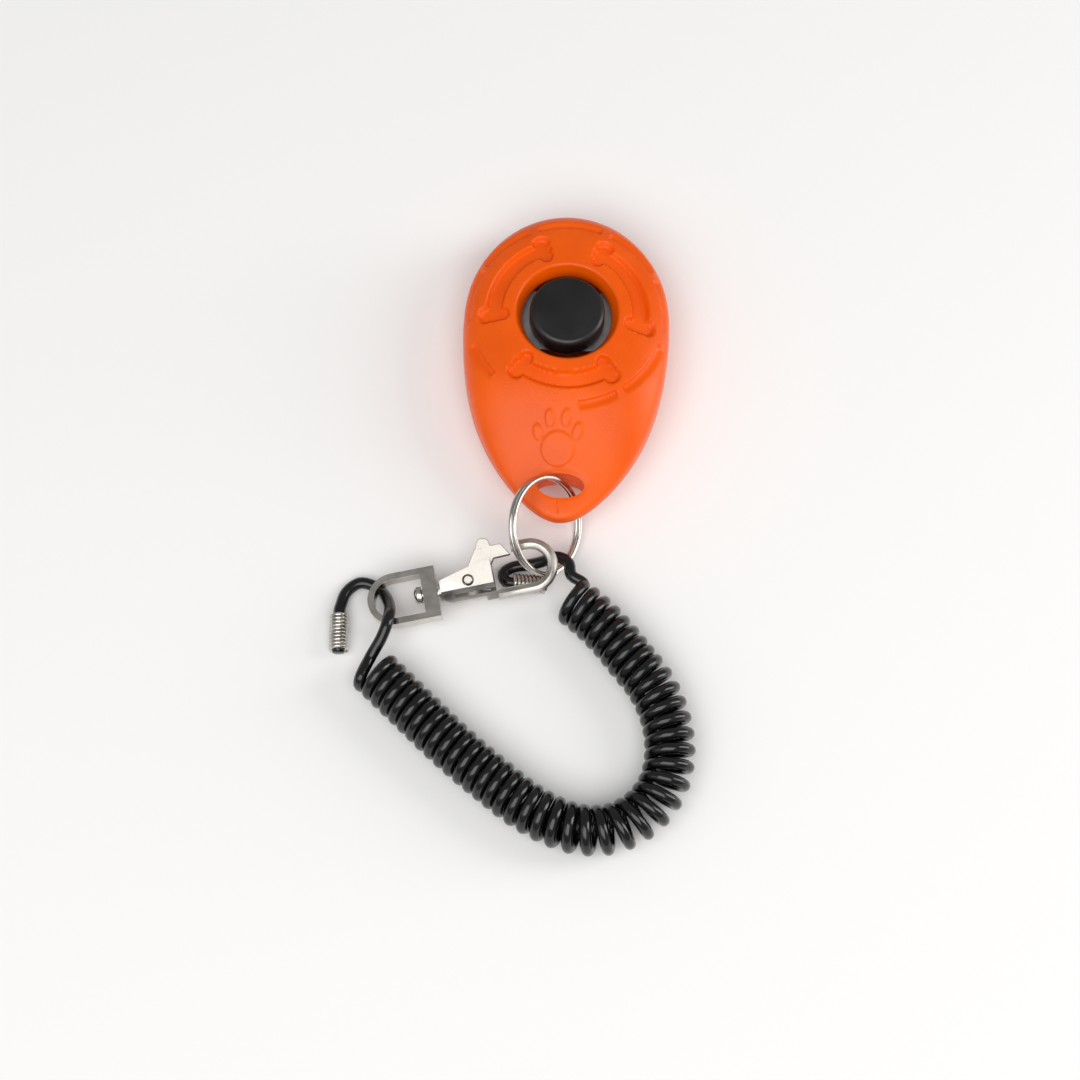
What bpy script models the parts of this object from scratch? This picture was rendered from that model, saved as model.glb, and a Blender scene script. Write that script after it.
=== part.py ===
"""Clicker trainer: an egg-shaped case with a button over a spring plate, a split ring through
its tip, a swivel snap hook on the ring, and a coiled wrist strap from the ring to the hook."""
import math

import bmesh
import bpy
from mathutils import Matrix, Vector

MM = 0.001

# Case: the button's axis is the Z axis, the flat back is z = 0, and the tip points to -Y.
CASE_HALF_WIDTH = 21.3 * MM
CASE_TOP = 24.0 * MM
CASE_TIP = 42.5 * MM
PARTING_HEIGHT = 8.0 * MM
CROWN = 10.0 * MM
SEAM = 0.3 * MM
WALL = 2.0 * MM
ROOF = 3.6 * MM
CAVITY_TAIL = 31.0 * MM
TIP_TAPER = 0.24
SHOULDER = 0.5
BACK_SPREAD = 1.12
CROWN_DROP = 0.66
BACK_LIFT = 0.66
DROP_START = 0.3
DROP_END = 0.95

# Bowl and button.
BOWL_RIM_RADIUS = 10.4 * MM
BOWL_HOLE_RADIUS = 9.2 * MM
BUTTON_GAP = 1.5 * MM
BUTTON_TOP_ABOVE_PLATE = 6.2 * MM
BUTTON_PEG_RADIUS = 1.3 * MM
PEG_BELOW_PLATE = 1.4 * MM

# Spring plate, its two rivets and the ledges that carry it.
PLATE_THICKNESS = 0.4 * MM
PLATE_HALF_LENGTH = 15.2 * MM
PLATE_HALF_WIDTH = 6.5 * MM
PLATE_BELOW_ROOF = 2.0 * MM
PLATE_DOME = 0.5 * MM
PLATE_DOME_RADIUS = 6.0 * MM
RIVET_X = 12.6 * MM
RIVET_RADIUS = 0.8 * MM
RIVET_HEAD_RADIUS = 1.4 * MM
RIVET_HEAD = 0.4 * MM
RIVET_DEPTH = 3.0 * MM
LEDGE_WIDTH = 3.6 * MM
LEDGE_HALF_DEPTH = 5.0 * MM

# Case screws.
SCREW_PLACES = [(-9.8 * MM, 11.4 * MM), (9.8 * MM, 11.4 * MM), (0.0, -15.0 * MM)]
SCREW_RADIUS = 1.1 * MM
SCREW_LENGTH = 8.0 * MM
SCREW_HEAD_RADIUS = 2.0 * MM
SCREW_HEAD = 1.3 * MM
SCREW_HEAD_SUNK = 0.5 * MM
POST_WALL = 1.3 * MM
POST_TOP = 14.0 * MM

# Bone grooves round the bowl.
BONE_RADIUS = 15.1 * MM
BONE_HALF_WIDTH = 2.0 * MM
BONE_DEPTH = 1.2 * MM
BONE_SPAN = math.radians(72)
BONE_CENTRES = [math.radians(a) for a in (28, 147, 269)]

# Lanyard hole.
HOLE_Y = -35.6 * MM
HOLE_HALF_LENGTH = 4.8 * MM
HOLE_HALF_WIDTH = 2.5 * MM

# Split ring: two turns of wire, tilted so that it goes over the case on its left side.
RING_RADIUS = 9.8 * MM
RING_WIRE_RADIUS = 0.45 * MM
RING_PITCH = 1.0 * MM
RING_CENTRE = Vector((-2.65 * MM, -43.8 * MM, 9.05 * MM))
RING_TILT = math.radians(47.5)
RING_LEAN = math.radians(13.2)

# Snap hook: u runs along the shank to the nose, v towards the gate and w up.
HOOK_START = Vector((-37.6 * MM, -60.9 * MM, 4.6 * MM))
HOOK_HEADING = math.radians(11.9)
HOOK_RISE = math.radians(6.9)
HOOK_ROLL = math.radians(11.4)
BAIL_LENGTH = 14.3 * MM
BAIL_HALF_WIDTH = 5.4 * MM
BAIL_BASE = 3.0 * MM
BAIL_STRIP = 1.3 * MM
BAIL_HALF_DEPTH = 1.5 * MM
POST_RADIUS = 1.2 * MM
POST_HEAD_RADIUS = 1.9 * MM
POST_HEAD = 1.5 * MM
POST_GRIP = 0.6 * MM
RUNNING_GAP = 0.3 * MM
NECK_RADIUS = 2.2 * MM
NECK_LENGTH = 1.6 * MM
BODY_LENGTH = 9.6 * MM
BODY_HALF_DEPTH = 2.4 * MM
BODY_NARROW = 2.3 * MM
BODY_LOW = -2.6 * MM
BODY_HIGH = 4.4 * MM
EYE_REACH = 12.2 * MM
ARM_RADIUS = 1.1 * MM
EYE_HALF_WIDTH = 4.5 * MM
EYE_MIDDLE = 1.7 * MM
TIP_RETURN = 3.2 * MM
GATE_HALF_DEPTH = 1.1 * MM
GATE_TAB_RADIUS = 1.4 * MM
GATE_PIN_RADIUS = 0.9 * MM
GATE_PIN_BACK = 5.0 * MM
GATE_PIN_SIDE = 1.0 * MM
GATE_SLOT_FLOOR = -2.0 * MM
GATE_SPRING_COIL = 0.75 * MM
GATE_SPRING_WIRE = 0.2 * MM
GATE_SPRING_BACK = 1.8 * MM
GATE_SPRING_LENGTH = 1.9 * MM

# Wrist strap.
CORD_RADIUS = 1.2 * MM
COIL_RADIUS = 5.15 * MM
FERRULE_RADIUS = 1.95 * MM
COIL_ROUTE = [(3.4, -58.2), (7.6, -61.6), (11.8, -65.8), (15.6, -70.4), (19.6, -75.4), (22.4, -81.4),
              (23.6, -87.4), (23.3, -93.0), (21.6, -97.8), (18.4, -101.8), (14.0, -104.6),
              (9.4, -105.6), (4.6, -105.2), (-0.4, -103.4), (-5.4, -100.6), (-10.8, -96.6),
              (-16.2, -92.4), (-21.6, -87.8), (-26.6, -83.2), (-31.6, -78.6), (-36.0, -74.6)]
LOOP_RIGHT_ROUTE = [(1.8, -56.2, 5.8), (2.9, -53.4, 6.9), (2.2, -50.6, 6.6), (-0.3, -48.9, 5.0),
                    (-3.0, -49.3, 2.9), (-5.8, -49.7, 1.7), (-8.8, -50.2, 1.5), (-10.8, -51.6, 1.6),
                    (-10.4, -53.4, 1.9)]
FERRULE_RIGHT_ENDS = [(-8.9, -53.9, 2.1), (-1.9, -54.0, 2.1)]
LOOP_LEFT_ROUTE = [(-36.6, -72.4, 6.6), (-34.4, -68.6, 8.6), (-33.3, -64.9, 9.2), (-33.5, -60.6, 5.4),
                   (-35.8, -56.2, 1.4), (-39.6, -54.9, 1.4), (-42.4, -57.0, 1.5), (-43.4, -60.2, 2.0)]
FERRULE_LEFT_ENDS = [(-43.6, -62.0, 2.3), (-43.3, -70.2, 2.3)]

for leftover in list(bpy.data.objects):
    bpy.data.objects.remove(leftover, do_unlink=True)

parts = bpy.data.collections.new("clicker_trainer")
cutters = bpy.data.collections.new("cutters")
bpy.context.scene.collection.children.link(parts)
bpy.context.scene.collection.children.link(cutters)


def material(name, colour, roughness, metallic):
    """A plain Principled material."""
    made = bpy.data.materials.new(name)
    made.use_nodes = True
    shader = made.node_tree.nodes["Principled BSDF"]
    shader.inputs["Base Color"].default_value = (*colour, 1.0)
    shader.inputs["Roughness"].default_value = roughness
    shader.inputs["Metallic"].default_value = metallic
    return made


def add_mesh(name, bm, finish=None, collection=parts):
    """Puts a bmesh into a new object; a cutter goes to its own collection."""
    bmesh.ops.recalc_face_normals(bm, faces=bm.faces)
    mesh = bpy.data.meshes.new(name)
    bm.to_mesh(mesh)
    bm.free()
    obj = bpy.data.objects.new(name, mesh)
    collection.objects.link(obj)
    if collection is cutters:
        obj.hide_render = True
        obj.display_type = "WIRE"
    else:
        mesh.shade_smooth()
        mesh.set_sharp_from_angle(angle=math.radians(35))
    if finish is not None:
        mesh.materials.append(material(name, *finish))
    return obj


def combine(target, tool, operation="DIFFERENCE"):
    """Adds an exact Boolean of target with tool."""
    step = target.modifiers.new(tool.name, "BOOLEAN")
    step.operation = operation
    step.object = tool
    step.solver = "EXACT"
    return target


def drum(name, radius, low, high, place=(0.0, 0.0), sides=24, finish=None, collection=cutters):
    """An upright cylinder from low to high."""
    bm = bmesh.new()
    bmesh.ops.create_cone(bm, cap_ends=True, segments=sides, radius1=radius, radius2=radius, depth=high - low)
    bmesh.ops.translate(bm, verts=bm.verts, vec=(place[0], place[1], (low + high) / 2))
    return add_mesh(name, bm, finish, collection)


def box(name, low, high, finish=None, collection=cutters):
    """A block between two corners."""
    bm = bmesh.new()
    bmesh.ops.create_cube(bm, size=1.0)
    size = Vector(high) - Vector(low)
    bmesh.ops.scale(bm, vec=size, verts=bm.verts)
    bmesh.ops.translate(bm, vec=(Vector(high) + Vector(low)) / 2, verts=bm.verts)
    return add_mesh(name, bm, finish, collection)


def turned(name, profile, sides=32, finish=None, collection=parts):
    """A turned solid: the profile runs from the axis down its outer side and back to the axis."""
    mesh = bpy.data.meshes.new(name)
    rim = [(r, 0.0, z) for r, z in profile]
    mesh.from_pydata(rim, [(i, i + 1) for i in range(len(rim) - 1)], [])
    obj = bpy.data.objects.new(name, mesh)
    collection.objects.link(obj)
    spin = obj.modifiers.new("turn", "SCREW")
    spin.axis = "Z"
    spin.steps = sides
    spin.render_steps = sides
    spin.use_merge_vertices = True
    spin.merge_threshold = 0.000001
    if finish is not None:
        mesh.materials.append(material(name, *finish))
    if collection is cutters:
        obj.hide_render = True
        obj.display_type = "WIRE"
    return obj


def baked(name, source, finish=None, collection=parts):
    """The evaluated shape of a curve or modified object as a welded mesh; the source is removed."""
    bpy.context.view_layer.update()
    evaluated = source.evaluated_get(bpy.context.evaluated_depsgraph_get())
    mesh = bpy.data.meshes.new_from_object(evaluated)
    bm = bmesh.new()
    bm.from_mesh(mesh)
    bpy.data.meshes.remove(mesh)
    bmesh.ops.remove_doubles(bm, verts=bm.verts, dist=0.000001)
    bmesh.ops.transform(bm, matrix=source.matrix_world, verts=bm.verts)
    bpy.data.objects.remove(source, do_unlink=True)
    return add_mesh(name, bm, finish, collection)


def wire(name, points, radius, finish=None, radii=None, resolution=2, closed=False):
    """A round wire with filled ends along the points."""
    data = bpy.data.curves.new(name, "CURVE")
    data.dimensions = "3D"
    data.bevel_depth = radius
    data.bevel_resolution = resolution
    data.use_fill_caps = True
    spline = data.splines.new("POLY")
    spline.points.add(len(points) - 1)
    for i, place in enumerate(points):
        spline.points[i].co = (*place, 1.0)
        spline.points[i].radius = 1.0 if radii is None else radii[i]
    spline.use_cyclic_u = closed
    obj = bpy.data.objects.new(name, data)
    parts.objects.link(obj)
    if finish is not None:
        data.materials.append(material(name, *finish))
    return obj


def smooth_route(route, step):
    """Points about one step apart on the Catmull-Rom curve through the route."""
    knots = [Vector(place) for place in route]
    knots = [2 * knots[0] - knots[1]] + knots + [2 * knots[-1] - knots[-2]]
    fine = []
    for before, start, end, after in zip(knots, knots[1:], knots[2:], knots[3:]):
        for k in range(20):
            t = k / 20
            fine.append(0.5 * (2 * start + (end - before) * t
                               + (2 * before - 5 * start + 4 * end - after) * t ** 2
                               + (3 * start - before - 3 * end + after) * t ** 3))
    fine.append(knots[-2])
    travelled = [0.0]
    for a, b in zip(fine, fine[1:]):
        travelled.append(travelled[-1] + (b - a).length)
    count = max(2, round(travelled[-1] / step))
    places = []
    k = 0
    for i in range(count + 1):
        goal = travelled[-1] * i / count
        while k < len(fine) - 2 and travelled[k + 1] < goal:
            k += 1
        share = (goal - travelled[k]) / (travelled[k + 1] - travelled[k])
        places.append(fine[k].lerp(fine[k + 1], min(1.0, share)))
    return places


def plate_from(name, outlines, half_depth, matrix, finish):
    """A flat piece: closed outlines in its own plane, the first outside and the others holes."""
    data = bpy.data.curves.new(name, "CURVE")
    data.dimensions = "2D"
    data.fill_mode = "BOTH"
    data.extrude = half_depth
    for outline in outlines:
        spline = data.splines.new("POLY")
        spline.points.add(len(outline) - 1)
        for i, (u, v) in enumerate(outline):
            spline.points[i].co = (u, v, 0.0, 1.0)
        spline.use_cyclic_u = True
    source = bpy.data.objects.new(name + "_outline", data)
    parts.objects.link(source)
    source.matrix_world = matrix
    return baked(name, source, finish)


def arc(centre, radius, start, end, count):
    """Points on an arc in a plane, from one angle to another in degrees."""
    turn = [math.radians(start + (end - start) * i / (count - 1)) for i in range(count)]
    return [(centre[0] + radius * math.cos(a), centre[1] + radius * math.sin(a)) for a in turn]


ORANGE = ((0.83, 0.11, 0.0), 0.38, 0.0)
BLACK = ((0.012, 0.012, 0.014), 0.35, 0.0)
STEEL = ((0.62, 0.61, 0.58), 0.3, 1.0)
NICKEL = ((0.68, 0.65, 0.6), 0.2, 1.0)


# The case: two shells that meet at the parting plane.
def ease(t):
    """Smooth step from 0 at DROP_START to 1 at DROP_END."""
    s = min(1.0, max(0.0, (t - DROP_START) / (DROP_END - DROP_START)))
    return s * s * (3 - 2 * s)


def egg_half(name, inset, tail, rise, upper, sides, finish=None, collection=cutters):
    """Half of an egg from the unit half ball (a, b, w): x is a times the half-width, drawn in
    towards the tip, y is b times the length on that side, and z is the parting plane plus or
    minus the rise times w to the power SHOULDER, held flat over the back."""
    bm = bmesh.new()
    bmesh.ops.create_uvsphere(bm, u_segments=sides, v_segments=sides // 2, radius=1.0)
    everything = bm.verts[:] + bm.edges[:] + bm.faces[:]
    bmesh.ops.bisect_plane(bm, geom=everything, dist=0.000001, plane_co=(0, 0, 0), plane_no=(0, 0, 1),
                           clear_inner=upper, clear_outer=not upper)
    bmesh.ops.contextual_create(bm, geom=[edge for edge in bm.edges if edge.is_boundary])
    for vert in bm.verts:
        a, b, w = vert.co
        back = max(0.0, -b)
        x = (CASE_HALF_WIDTH - inset) * a * (1 - TIP_TAPER * back ** 4)
        y = b * (CASE_TOP - inset if b > 0 else tail)
        lift = abs(w) ** SHOULDER
        if upper:
            z = PARTING_HEIGHT + SEAM / 2 + (rise - SEAM / 2) * (1 - CROWN_DROP * ease(back)) * lift
        else:
            lift = min(1.0, BACK_SPREAD * lift)
            z = PARTING_HEIGHT - SEAM / 2 - (rise - SEAM / 2) * (1 - BACK_LIFT * ease(back)) * lift
        vert.co = (x, y, z)
    return add_mesh(name, bm, finish, collection)


CEILING = PARTING_HEIGHT + CROWN - ROOF
PLATE_LOW = CEILING - PLATE_BELOW_ROOF - PLATE_THICKNESS
PLATE_HIGH = PLATE_LOW + PLATE_THICKNESS
BOWL_TOP = PARTING_HEIGHT + CROWN + 2 * MM
BOWL_SLOPE = (BOWL_RIM_RADIUS - BOWL_HOLE_RADIUS) / (0.7 * ROOF)

front_cover = egg_half("front_cover", 0.0, CASE_TIP, CROWN, True, 56, ORANGE, parts)
combine(front_cover, egg_half("front_hollow", WALL, CAVITY_TAIL, CROWN - ROOF, True, 36))
back_cover = egg_half("back_cover", 0.0, CASE_TIP, PARTING_HEIGHT, False, 56, ORANGE, parts)
combine(back_cover, egg_half("back_hollow", WALL, CAVITY_TAIL, PARTING_HEIGHT - WALL, False, 36))

for i, place in enumerate(SCREW_PLACES):
    post_radius = SCREW_RADIUS + RUNNING_GAP + POST_WALL
    front_post = drum(f"front_post_{i}", post_radius, PARTING_HEIGHT + SEAM / 2, POST_TOP, place)
    back_post = drum(f"back_post_{i}", post_radius, WALL / 2, PARTING_HEIGHT - SEAM / 2, place)
    combine(front_cover, front_post, "UNION")
    combine(back_cover, back_post, "UNION")
for i, place in enumerate(SCREW_PLACES):
    bore = SCREW_RADIUS + RUNNING_GAP
    screw_seat = SCREW_HEAD_SUNK + SCREW_HEAD + RUNNING_GAP
    shank_end = SCREW_HEAD_SUNK + SCREW_HEAD + SCREW_LENGTH
    combine(front_cover, drum(f"pilot_{i}", bore, PARTING_HEIGHT / 2, shank_end + RUNNING_GAP, place, 16))
    combine(back_cover, drum(f"clearance_{i}", bore, -MM, PARTING_HEIGHT + MM, place, 16))
    combine(back_cover, drum(f"counterbore_{i}", SCREW_HEAD_RADIUS + RUNNING_GAP, -MM, screw_seat, place))
for side in (-1, 1):
    ledge_low = (side * RIVET_X - LEDGE_WIDTH / 2, -LEDGE_HALF_DEPTH, WALL / 2)
    ledge_high = (side * RIVET_X + LEDGE_WIDTH / 2, LEDGE_HALF_DEPTH, PLATE_LOW - RUNNING_GAP)
    combine(back_cover, box(f"ledge_{side}", ledge_low, ledge_high), "UNION")
    socket_low = PLATE_LOW - RUNNING_GAP - RIVET_DEPTH - RUNNING_GAP
    socket = drum(f"rivet_socket_{side}", RIVET_RADIUS + RUNNING_GAP, socket_low, PLATE_HIGH,
                  (side * RIVET_X, 0.0), 16)
    combine(back_cover, socket)

bowl = turned("bowl", [(0.0, BOWL_TOP), (BOWL_HOLE_RADIUS + BOWL_SLOPE * (BOWL_TOP - CEILING), BOWL_TOP),
                       (BOWL_HOLE_RADIUS, CEILING), (BOWL_HOLE_RADIUS, PLATE_HIGH), (0.0, PLATE_HIGH)],
              48, None, cutters)
combine(front_cover, bowl)


def roof_height(x, y):
    """Height of the case's outer face over a place on the top side."""
    b = y / (CASE_TOP if y > 0 else CASE_TIP)
    back = max(0.0, -b)
    a = x / (CASE_HALF_WIDTH * (1 - TIP_TAPER * back ** 4))
    lift = max(0.0, 1 - a * a - b * b) ** (SHOULDER / 2)
    return PARTING_HEIGHT + CROWN * (1 - CROWN_DROP * ease(back)) * lift


for number, middle in enumerate(BONE_CENTRES):
    bend = []
    for k in range(13):
        angle = middle + BONE_SPAN * (k / 12 - 0.5)
        x = BONE_RADIUS * math.cos(angle)
        y = BONE_RADIUS * math.sin(angle)
        bend.append((x, y, roof_height(x, y) + BONE_HALF_WIDTH - BONE_DEPTH))
    knobs = [1.35, 1.35, 1.05] + [1.0] * 7 + [1.05, 1.35, 1.35]
    groove = wire(f"bone_{number}_path", bend, BONE_HALF_WIDTH, None, knobs)
    combine(front_cover, baked(f"bone_{number}", groove, None, cutters))

bm = bmesh.new()
bmesh.ops.create_cone(bm, cap_ends=True, segments=32, radius1=1.0, radius2=1.0, depth=1.0)
bmesh.ops.scale(bm, vec=(HOLE_HALF_LENGTH, HOLE_HALF_WIDTH, 4 * PARTING_HEIGHT), verts=bm.verts)
bmesh.ops.translate(bm, vec=(0.0, HOLE_Y, PARTING_HEIGHT), verts=bm.verts)
lanyard_hole = add_mesh("lanyard_hole", bm, None, cutters)
combine(front_cover, lanyard_hole)
combine(back_cover, lanyard_hole)

# Spring plate: a strip with a raised dome, riveted to two ledges, with a hole for the button's peg.
bm = bmesh.new()
bmesh.ops.create_grid(bm, x_segments=24, y_segments=12, size=1.0)
for vert in bm.verts:
    x = vert.co.x * PLATE_HALF_LENGTH
    y = vert.co.y * PLATE_HALF_WIDTH
    reach = min(1.0, math.hypot(x, y) / PLATE_DOME_RADIUS)
    vert.co = (x, y, PLATE_LOW + PLATE_DOME * (0.5 + 0.5 * math.cos(math.pi * reach)))
click_plate = add_mesh("click_plate", bm, STEEL)
thickness = click_plate.modifiers.new("thickness", "SOLIDIFY")
thickness.thickness = PLATE_THICKNESS
thickness.offset = 1.0
combine(click_plate, drum("peg_hole", BUTTON_PEG_RADIUS + RUNNING_GAP, PLATE_LOW - MM, PLATE_HIGH + MM, sides=16))
for side in (-1, 1):
    rivet_hole = drum(f"rivet_hole_{side}", RIVET_RADIUS + RUNNING_GAP, PLATE_LOW - MM, PLATE_HIGH + MM,
                      (side * RIVET_X, 0.0), 16)
    combine(click_plate, rivet_hole)
    head_low = PLATE_HIGH + RUNNING_GAP * 0.6
    rivet = turned("plate_rivet_left" if side < 0 else "plate_rivet_right",
                   [(0.0, head_low + RIVET_HEAD), (RIVET_HEAD_RADIUS, head_low + RIVET_HEAD),
                    (RIVET_HEAD_RADIUS, head_low), (RIVET_RADIUS, head_low),
                    (RIVET_RADIUS, PLATE_LOW - RIVET_DEPTH), (0.0, PLATE_LOW - RIVET_DEPTH)], 16, STEEL)
    rivet.location.x = side * RIVET_X

# Button: a domed cap on the plate, with a peg through the plate.
button_low = PLATE_HIGH + PLATE_DOME + RUNNING_GAP
button_high = PLATE_HIGH + BUTTON_TOP_ABOVE_PLATE
button_radius = BOWL_HOLE_RADIUS - BUTTON_GAP
peg_end = PLATE_LOW - PEG_BELOW_PLATE
dome = []
for k in range(7):
    swing = math.radians(90 * k / 6)
    dome.append((button_radius - 1.4 * MM * (1 - math.sin(swing)),
                 button_high - 0.5 * MM - 1.4 * MM * (1 - math.cos(swing))))
turned("button", [(0.0, button_high), (button_radius * 0.55, button_high - 0.15 * MM)] + dome
       + [(button_radius, button_low), (BUTTON_PEG_RADIUS, button_low), (BUTTON_PEG_RADIUS, peg_end),
          (0.0, peg_end)], 48, BLACK)

# Case screws: pan heads with a cross slot, driven from the back.
screw_top = SCREW_HEAD_SUNK + SCREW_HEAD
screw_form = turned("screw_form", [(0.0, screw_top + SCREW_LENGTH), (SCREW_RADIUS * 0.4, screw_top + SCREW_LENGTH),
                                   (SCREW_RADIUS, screw_top + SCREW_LENGTH - SCREW_RADIUS),
                                   (SCREW_RADIUS, screw_top), (SCREW_HEAD_RADIUS, screw_top),
                                   (SCREW_HEAD_RADIUS, SCREW_HEAD_SUNK + 0.4 * MM),
                                   (SCREW_HEAD_RADIUS * 0.75, SCREW_HEAD_SUNK), (0.0, SCREW_HEAD_SUNK)], 20)
for along, across in ((1.15 * MM, 0.25 * MM), (0.25 * MM, 1.15 * MM)):
    slot = box(f"cross_slot_{along:.5f}", (-along, -across, 0.0), (along, across, SCREW_HEAD_SUNK + 0.7 * MM))
    combine(screw_form, slot)
screw = baked("back_screw_1", screw_form, STEEL)
screw.location = (*SCREW_PLACES[0], 0.0)
for i in (1, 2):
    twin = screw.copy()
    twin.name = f"back_screw_{i + 1}"
    twin.location = (*SCREW_PLACES[i], 0.0)
    parts.objects.link(twin)

# Split ring.
ring_frame = (Matrix.Translation(RING_CENTRE) @ Matrix.Rotation(RING_TILT, 4, "Y")
              @ Matrix.Rotation(RING_LEAN, 4, "X"))
coils = []
for k in range(2 * 30 + 1):
    angle = 2 * math.pi * k / 30 - math.pi / 3
    coils.append((RING_RADIUS * math.cos(angle), RING_RADIUS * math.sin(angle), RING_PITCH * (k / 30 - 1)))
ring_wire = wire("split_ring", coils, RING_WIRE_RADIUS, NICKEL)
ring_wire.matrix_world = ring_frame

# Snap hook and its swivel, laid out in the hook's own frame.
shank_frame = (Matrix.Translation(HOOK_START) @ Matrix.Rotation(HOOK_HEADING, 4, "Z")
               @ Matrix.Rotation(-HOOK_RISE, 4, "Y"))
hook_frame = shank_frame @ Matrix.Rotation(HOOK_ROLL, 4, "X")
along_u = Matrix.Rotation(math.radians(90), 4, "Y")

bail_bend = BAIL_HALF_WIDTH
bail_outside = arc((bail_bend, 0.0), BAIL_HALF_WIDTH, 90, 270, 17) + [(BAIL_LENGTH, -BAIL_HALF_WIDTH),
                                                                      (BAIL_LENGTH, BAIL_HALF_WIDTH)]
bail_inside = arc((bail_bend, 0.0), BAIL_HALF_WIDTH - BAIL_STRIP, 90, 270, 17)
bail_inside += [(BAIL_LENGTH - BAIL_BASE, -BAIL_HALF_WIDTH + BAIL_STRIP),
                (BAIL_LENGTH - BAIL_BASE, BAIL_HALF_WIDTH - BAIL_STRIP)]
swivel_bail = plate_from("swivel_bail", [bail_outside, bail_inside], BAIL_HALF_DEPTH, shank_frame, NICKEL)
post_hole = drum("bail_bore", POST_RADIUS + RUNNING_GAP * 0.7, 0.0, BAIL_BASE + 4 * MM, sides=20)
post_hole.matrix_world = shank_frame @ Matrix.Translation((BAIL_LENGTH - BAIL_BASE - 2 * MM, 0, 0)) @ along_u
combine(swivel_bail, post_hole)

neck_start = BAIL_LENGTH + RUNNING_GAP
head_end = BAIL_LENGTH - BAIL_BASE - RUNNING_GAP
post_end = neck_start + NECK_LENGTH + POST_GRIP
swivel_post = turned("swivel_post", [(0.0, post_end), (POST_RADIUS, post_end), (POST_RADIUS, head_end),
                                     (POST_HEAD_RADIUS, head_end), (POST_HEAD_RADIUS, head_end - POST_HEAD * 0.6),
                                     (POST_HEAD_RADIUS * 0.7, head_end - POST_HEAD), (0.0, head_end - POST_HEAD)],
                     20, NICKEL)
swivel_post.matrix_world = hook_frame @ along_u

body_start = neck_start + NECK_LENGTH
body_end = body_start + BODY_LENGTH
wedge = [(neck_start + 0.4 * MM, -BODY_NARROW * 0.8), (body_start + 0.4 * MM, BODY_LOW), (body_end, BODY_LOW),
         (body_end, BODY_HIGH), (body_end - 1.5 * MM, BODY_HIGH), (body_start, BODY_NARROW),
         (neck_start + 0.4 * MM, BODY_NARROW * 0.8)]
hook_body = plate_from("hook_body", [wedge], BODY_HALF_DEPTH, hook_frame, NICKEL)
collar = drum("neck_collar", NECK_RADIUS, neck_start, body_start + MM, sides=24)
collar.matrix_world = hook_frame @ along_u
combine(hook_body, collar, "UNION")

eye_middle_u = body_end + EYE_REACH - EYE_HALF_WIDTH
low_v = EYE_MIDDLE - EYE_HALF_WIDTH
nose = [(body_end - 2 * MM, low_v)]
nose += [(body_end + EYE_REACH * share, low_v) for share in (0.15, 0.4)]
nose += arc((eye_middle_u, EYE_MIDDLE), EYE_HALF_WIDTH, -90, 90, 15)
nose += [(eye_middle_u - TIP_RETURN, EYE_MIDDLE + EYE_HALF_WIDTH + 0.1 * MM)]
hook_arm = wire("hook_arm_path", [(u, v, 0.0) for u, v in nose], ARM_RADIUS, None, None, 2)
hook_arm.matrix_world = hook_frame
combine(hook_body, baked("hook_arm", hook_arm, None, cutters), "UNION")

pin_u = body_end - GATE_PIN_BACK
gate_slot = box("gate_slot", (pin_u - 3.2 * MM, GATE_SLOT_FLOOR, -GATE_HALF_DEPTH - RUNNING_GAP),
                (body_end + MM, BODY_HIGH + MM, GATE_HALF_DEPTH + RUNNING_GAP))
gate_slot.matrix_world = hook_frame
combine(hook_body, gate_slot)
pin_bore = drum("pin_bore", GATE_PIN_RADIUS + RUNNING_GAP, -2 * BODY_HALF_DEPTH, 2 * BODY_HALF_DEPTH,
                (pin_u, GATE_PIN_SIDE), 16)
pin_bore.matrix_world = hook_frame
combine(hook_body, pin_bore)
post_socket = drum("post_socket", POST_RADIUS + RUNNING_GAP * 0.7, neck_start - MM, post_end + RUNNING_GAP, sides=20)
post_socket.matrix_world = hook_frame @ along_u
combine(hook_body, post_socket)

gate_tip_u = eye_middle_u - TIP_RETURN - RUNNING_GAP
gate_high = EYE_MIDDLE + EYE_HALF_WIDTH + 1.0 * MM
gate_outline = arc((pin_u, GATE_PIN_SIDE), 1.9 * MM, 100, 300, 9)
gate_outline += [(body_end - 0.5 * MM, gate_high - 4.4 * MM), (body_end + 0.8 * MM, gate_high - 2.6 * MM),
                 (gate_tip_u, gate_high - 2.5 * MM), (gate_tip_u - 1.6 * MM, gate_high),
                 (body_end + 0.6 * MM, gate_high)]
gate_outline += arc((body_end - 0.9 * MM, gate_high + 0.4 * MM), GATE_TAB_RADIUS, 0, 180, 9)
gate = plate_from("gate", [gate_outline], GATE_HALF_DEPTH, hook_frame, NICKEL)
gate_bore = drum("gate_bore", GATE_PIN_RADIUS + RUNNING_GAP * 0.7, -2 * GATE_HALF_DEPTH, 2 * GATE_HALF_DEPTH,
                 (pin_u, GATE_PIN_SIDE), 16)
gate_bore.matrix_world = hook_frame
combine(gate, gate_bore)

pin_half = BODY_HALF_DEPTH + 0.35 * MM
gate_pin = turned("gate_pin", [(0.0, pin_half), (GATE_PIN_RADIUS * 0.8, pin_half), (GATE_PIN_RADIUS, pin_half - 0.2 * MM),
                               (GATE_PIN_RADIUS, -pin_half + 0.2 * MM), (GATE_PIN_RADIUS * 0.8, -pin_half),
                               (0.0, -pin_half)], 16, STEEL)
gate_pin.matrix_world = hook_frame @ Matrix.Translation((pin_u, GATE_PIN_SIDE, 0.0))

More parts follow.
